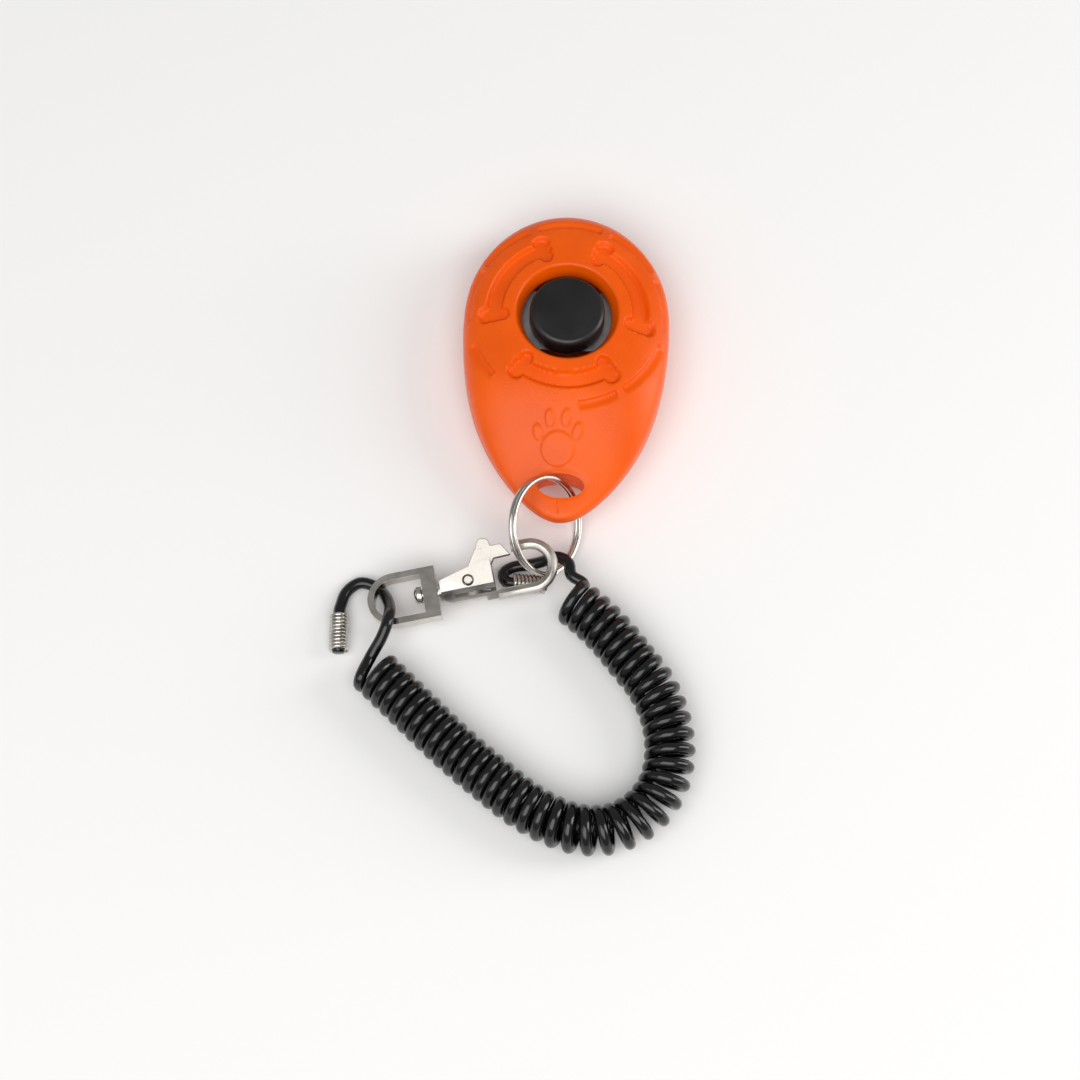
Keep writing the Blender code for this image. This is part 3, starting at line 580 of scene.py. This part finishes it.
def carried(path, section, first_side, scale=None):
    """Rings of a section carried along a path. Each side direction is the one before it, turned
    no more than the path turns; the second direction is the path's slope crossed with the side."""
    slope = np.gradient(path, axis=0)
    slope /= np.linalg.norm(slope, axis=1, keepdims=True)
    sides = []
    side = np.array(first_side, float)
    for ahead in slope:
        side = side - ahead * (side @ ahead)
        side = side / np.linalg.norm(side)
        sides.append(side)
    sides = np.array(sides)[:, None, :]
    rise = np.cross(slope[:, None, :], sides)
    size = np.ones(len(path)) if scale is None else np.array(scale, float)
    outline = section[None] * size[:, None, None]
    return path[:, None, :] + outline[..., :1] * sides + outline[..., 1:] * rise


def placed(matrix, points):
    """Points in millimetres, moved by a 4 by 4 matrix whose shift is in millimetres."""
    turn = np.array(matrix.to_3x3())
    return points @ turn.T + np.array(matrix.translation)


ring_frame = (Matrix.Translation(RING_CENTRE) @ Matrix.Rotation(RING_TILT, 4, "Y")
              @ Matrix.Rotation(RING_LEAN, 4, "X"))
turn = np.linspace(0, 2, 2 * 96 + 1)
angle = 2 * np.pi * turn - np.pi / 3
coil = np.column_stack([RING_RADIUS * np.cos(angle), RING_RADIUS * np.sin(angle), RING_PITCH * (turn - 1)])
band = rounded_section(RING_HALF_BAND, RING_HALF_THICK, 2.8, 24)
ring_axis = np.array(ring_frame.to_3x3())[:, 2]
ring = swept("split_ring_band", carried(placed(ring_frame, coil), band, ring_axis))
dressed(ring, NICKEL, "ring_nickel", "ring", "split_ring", sharp=50)

# ---- Swivel bail
# A cast, nickel-plated stirrup: a thin strip bent round the strap's loop, on a thick block that
# the post turns in. Its edges are tumbled round.
HOOK_START = (-37.6, -60.9, 4.6)
HOOK_HEADING = math.radians(11.9)
HOOK_RISE = math.radians(6.9)
HOOK_ROLL = math.radians(11.4)
shank_frame = (Matrix.Translation(HOOK_START) @ Matrix.Rotation(HOOK_HEADING, 4, "Z")
               @ Matrix.Rotation(-HOOK_RISE, 4, "Y"))
hook_frame = shank_frame @ Matrix.Rotation(HOOK_ROLL, 4, "X")


def tidied(piece):
    """Merges the doubled points of a piece and joins its flat faces."""
    bm = bmesh.new()
    bm.from_mesh(piece.data)
    bmesh.ops.remove_doubles(bm, verts=bm.verts, dist=0.002 * MM)
    bmesh.ops.dissolve_limit(bm, angle_limit=math.radians(1.5), verts=bm.verts, edges=bm.edges)
    bm.to_mesh(piece.data)
    bm.free()


def copied(node, name):
    """A copy of a CAD piece, with its flat faces joined."""
    piece = bpy.data.objects.new(name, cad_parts[node].data.copy())
    bpy.context.scene.collection.objects.link(piece)
    tidied(piece)
    return piece


def tumbled(piece, width):
    """Rounds the edges of a piece to width, in mm."""
    bevel = piece.modifiers.new("tumbled_edges", "BEVEL")
    bevel.width = width * MM
    bevel.segments = 3
    bevel.limit_method = "ANGLE"
    bevel.angle_limit = math.radians(32)
    bevel.harden_normals = True
    return piece


bail = tumbled(copied("swivel_bail", "swivel_bail_cast"), 0.4)
dressed(bail, NICKEL, "hook_nickel", "bail", "swivel_bail", sharp=60)

# ---- Swivel post
# A headed stud that is riveted into the hook's neck and turns in the bail's block.
post = tumbled(copied("swivel_post", "swivel_post_stud"), 0.15)
dressed(post, NICKEL, "hook_nickel", "hook", "swivel_post", sharp=60)

# ---- Hook body
# Die-cast and nickel-plated: a collar, a wedge-shaped body with a slot for the gate, and a round
# arm that bends back to form the eye. The body's lower side is drafted to a slant.
BODY_END = 25.8
BODY_HALF_DEPTH = 2.4
SLANT_START = -0.4
SLANT = math.radians(47)
SATIN_NICKEL = finish("satin_nickel", (0.50, 0.475, 0.44), (0.62, 0.59, 0.55), 0.26, 0.40,
                      3000, 300, 0.010, metallic=1.0)
hook_body = copied("hook_body", "hook_body_cast")
chamfer = block("slanted_side", (10.0, -6.0, 0.0), (BODY_END + 0.4, 6.0, 6.0))
lean = (hook_frame @ Matrix.Translation((0.0, SLANT_START, BODY_HALF_DEPTH))
        @ Matrix.Rotation(SLANT, 4, "X"))
chamfer.data.transform(Matrix.Scale(MM, 4) @ lean @ Matrix.Scale(1 / MM, 4))
combine(hook_body, [chamfer], "DIFFERENCE")
tidied(hook_body)
tumbled(hook_body, 0.3)
dressed(hook_body, SATIN_NICKEL, "hook_nickel", "hook", "hook_body", sharp=60)

# ---- Gate
# A cast lever on the gate pin, with a thumb tab, that closes on the end of the arm.
gate = tumbled(copied("gate", "gate_lever"), 0.25)
dressed(gate, SATIN_NICKEL, "hook_nickel", "gate", "gate", sharp=60)

# ---- Gate pin and gate spring
# A steel rivet across the body, headed flat on both sides, and a small coil that lifts the gate.
refinish("gate_pin", PLAIN_STEEL)
refinish("gate_spring", SPRING_STEEL)

# ---- Wrist strap
# One length of glossy black plastic cord, wound into 43 close turns, with a plain loop
# at each end whose tail is held in a ferrule.
CORD_DIAMETER = 2.4
COIL_RADIUS = 3.95
COIL_HEIGHT = 5.25
COIL_ROUTE = ((3.4, -58.2), (7.6, -61.6), (11.8, -65.8), (15.6, -70.4), (19.6, -75.4), (22.4, -81.4),
              (23.6, -87.4), (23.3, -93.0), (21.6, -97.8), (18.4, -101.8), (14.0, -104.6),
              (9.4, -105.6), (4.6, -105.2), (-0.4, -103.4), (-5.4, -100.6), (-10.8, -96.6),
              (-16.2, -92.4), (-21.6, -87.8), (-26.6, -83.2), (-31.6, -78.6), (-36.0, -74.6))
LOOP_RIGHT_ROUTE = ((2.9, -53.4, 6.9), (2.2, -50.6, 6.6), (-0.3, -48.9, 5.0),
                    (-3.0, -49.3, 2.9), (-5.8, -49.7, 1.7), (-8.8, -50.2, 1.5), (-10.8, -51.6, 1.6),
                    (-10.4, -53.4, 1.9))
FERRULE_RIGHT_ENDS = ((-8.9, -53.9, 2.1), (-1.9, -54.0, 2.1))
LOOP_LEFT_ROUTE = ((-36.6, -72.4, 6.6), (-34.4, -68.6, 8.6), (-33.3, -64.9, 9.2), (-33.5, -60.6, 5.4),
                   (-35.8, -56.2, 1.4), (-39.6, -54.9, 1.4), (-42.4, -57.0, 1.5), (-43.4, -60.2, 2.0))
FERRULE_LEFT_ENDS = ((-43.6, -62.0, 2.3), (-43.3, -70.2, 2.3))
TURN_POINTS = 26
START_PHASE = math.radians(150)
CORD_BLACK = finish("cord_black", (0.0025, 0.0025, 0.003), (0.005, 0.005, 0.0055), 0.13, 0.21,
                    2200, 240, 0.006, coat=0.1)


def spline_through(knots, per_span):
    """Catmull-Rom curve: in each span a cubic whose slope at a knot is half the step between the
    knots on either side of it."""
    knots = np.array(knots, float)
    ends = np.vstack([2 * knots[0] - knots[1], knots, 2 * knots[-1] - knots[-2]])
    t = np.linspace(0, 1, per_span, endpoint=False)[None, :, None]
    before, start, end, after = (ends[k:len(ends) - 3 + k, None, :] for k in range(4))
    curve = 0.5 * (2 * start + (end - before) * t + (2 * before - 5 * start + 4 * end - after) * t ** 2
                   + (3 * start - before - 3 * end + after) * t ** 3)
    return np.vstack([curve.reshape(-1, knots.shape[1]), knots[-1]])


def travelled(path):
    """Distance along a path to each of its points."""
    return np.concatenate([[0], np.cumsum(np.linalg.norm(np.diff(path, axis=0), axis=1))])


def evenly(path, step):
    """The path's points again, about one step apart."""
    along = travelled(path)
    goals = np.linspace(0, along[-1], max(2, round(along[-1] / step)) + 1)
    return np.column_stack([np.interp(goals, along, path[:, k]) for k in range(path.shape[1])])


# The turns lie against each other on the inside of a bend, so their pitch opens with the bend.
axis_line = evenly(spline_through(COIL_ROUTE, 24), 0.2)
along = travelled(axis_line)
ahead = np.gradient(axis_line, axis=0)
ahead /= np.linalg.norm(ahead, axis=1, keepdims=True)
heading = np.unwrap(np.arctan2(ahead[:, 1], ahead[:, 0]))
bend = np.abs(np.convolve(np.gradient(heading, along), np.ones(41) / 41, "same"))
turn_rate = (1 - COIL_RADIUS * bend) / (1.02 * CORD_DIAMETER)
phase = np.concatenate([[0], np.cumsum((turn_rate[1:] + turn_rate[:-1]) / 2 * np.diff(along))])
turns = round(phase[-1])
goals = np.linspace(0, phase[-1], turns * TURN_POINTS + 1)
centre = np.column_stack([np.interp(goals, phase, axis_line[:, k]) for k in (0, 1)])
across = np.column_stack([np.interp(goals, phase, ahead[:, 1]), -np.interp(goals, phase, ahead[:, 0])])
spin = START_PHASE - 2 * np.pi * goals * turns / phase[-1]
helix = np.column_stack([centre + COIL_RADIUS * np.cos(spin)[:, None] * across,
                         COIL_HEIGHT + COIL_RADIUS * np.sin(spin)])
quarter = TURN_POINTS // 4
right_knots = [FERRULE_RIGHT_ENDS[1], FERRULE_RIGHT_ENDS[0], *LOOP_RIGHT_ROUTE[::-1],
               helix[0], helix[quarter]]
left_knots = [helix[-1 - quarter], helix[-1], *LOOP_LEFT_ROUTE, *FERRULE_LEFT_ENDS]
right_end = evenly(spline_through(right_knots, 20)[:-20], 0.7)
left_end = evenly(spline_through(left_knots, 20)[20:], 0.7)
cord_path = np.vstack([right_end[:-1], helix, left_end[1:]])
cord_section = rounded_section(CORD_DIAMETER / 2, CORD_DIAMETER / 2, 2, 14)
strap = swept("wrist_cord", carried(cord_path, cord_section, (0, 0, 1)))
strap.data.materials.append(CORD_BLACK)
strap.data.polygons.foreach_set("use_smooth", np.ones(len(strap.data.polygons), bool))
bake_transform(strap)
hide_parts("strap_coil", "cord_loop_right", "cord_loop_left")

# ---- Ferrules
# Close-wound sleeves of plated wire, squeezed on to the end of each loop.
FERRULE_RADIUS = 1.95
FERRULE_WIRE = 0.38
FERRULE_STEEL = finish("ferrule_wire", (0.52, 0.50, 0.46), (0.66, 0.64, 0.60), 0.16, 0.30,
                       4200, 500, 0.006, metallic=1.0)
for side, ends, body in (("right", FERRULE_RIGHT_ENDS, "ring"), ("left", FERRULE_LEFT_ENDS, "bail")):
    start, end = (Vector(place) for place in ends)
    length = (end - start).length - 2 * FERRULE_WIRE
    count = round(length / (2 * FERRULE_WIRE))
    turn = np.linspace(0, count, count * 24 + 1)
    wind = np.column_stack([(FERRULE_RADIUS - FERRULE_WIRE) * np.cos(2 * np.pi * turn),
                            (FERRULE_RADIUS - FERRULE_WIRE) * np.sin(2 * np.pi * turn),
                            FERRULE_WIRE + length * turn / count])
    stand = Matrix.Translation(start) @ (end - start).to_track_quat("Z", "Y").to_matrix().to_4x4()
    wire = carried(placed(stand, wind), rounded_section(FERRULE_WIRE, FERRULE_WIRE, 2, 10), end - start)
    sleeve = swept(f"ferrule_{side}_wire", wire)
    dressed(sleeve, FERRULE_STEEL, "ferrule_wire", body, f"ferrule_{side}", sharp=60)
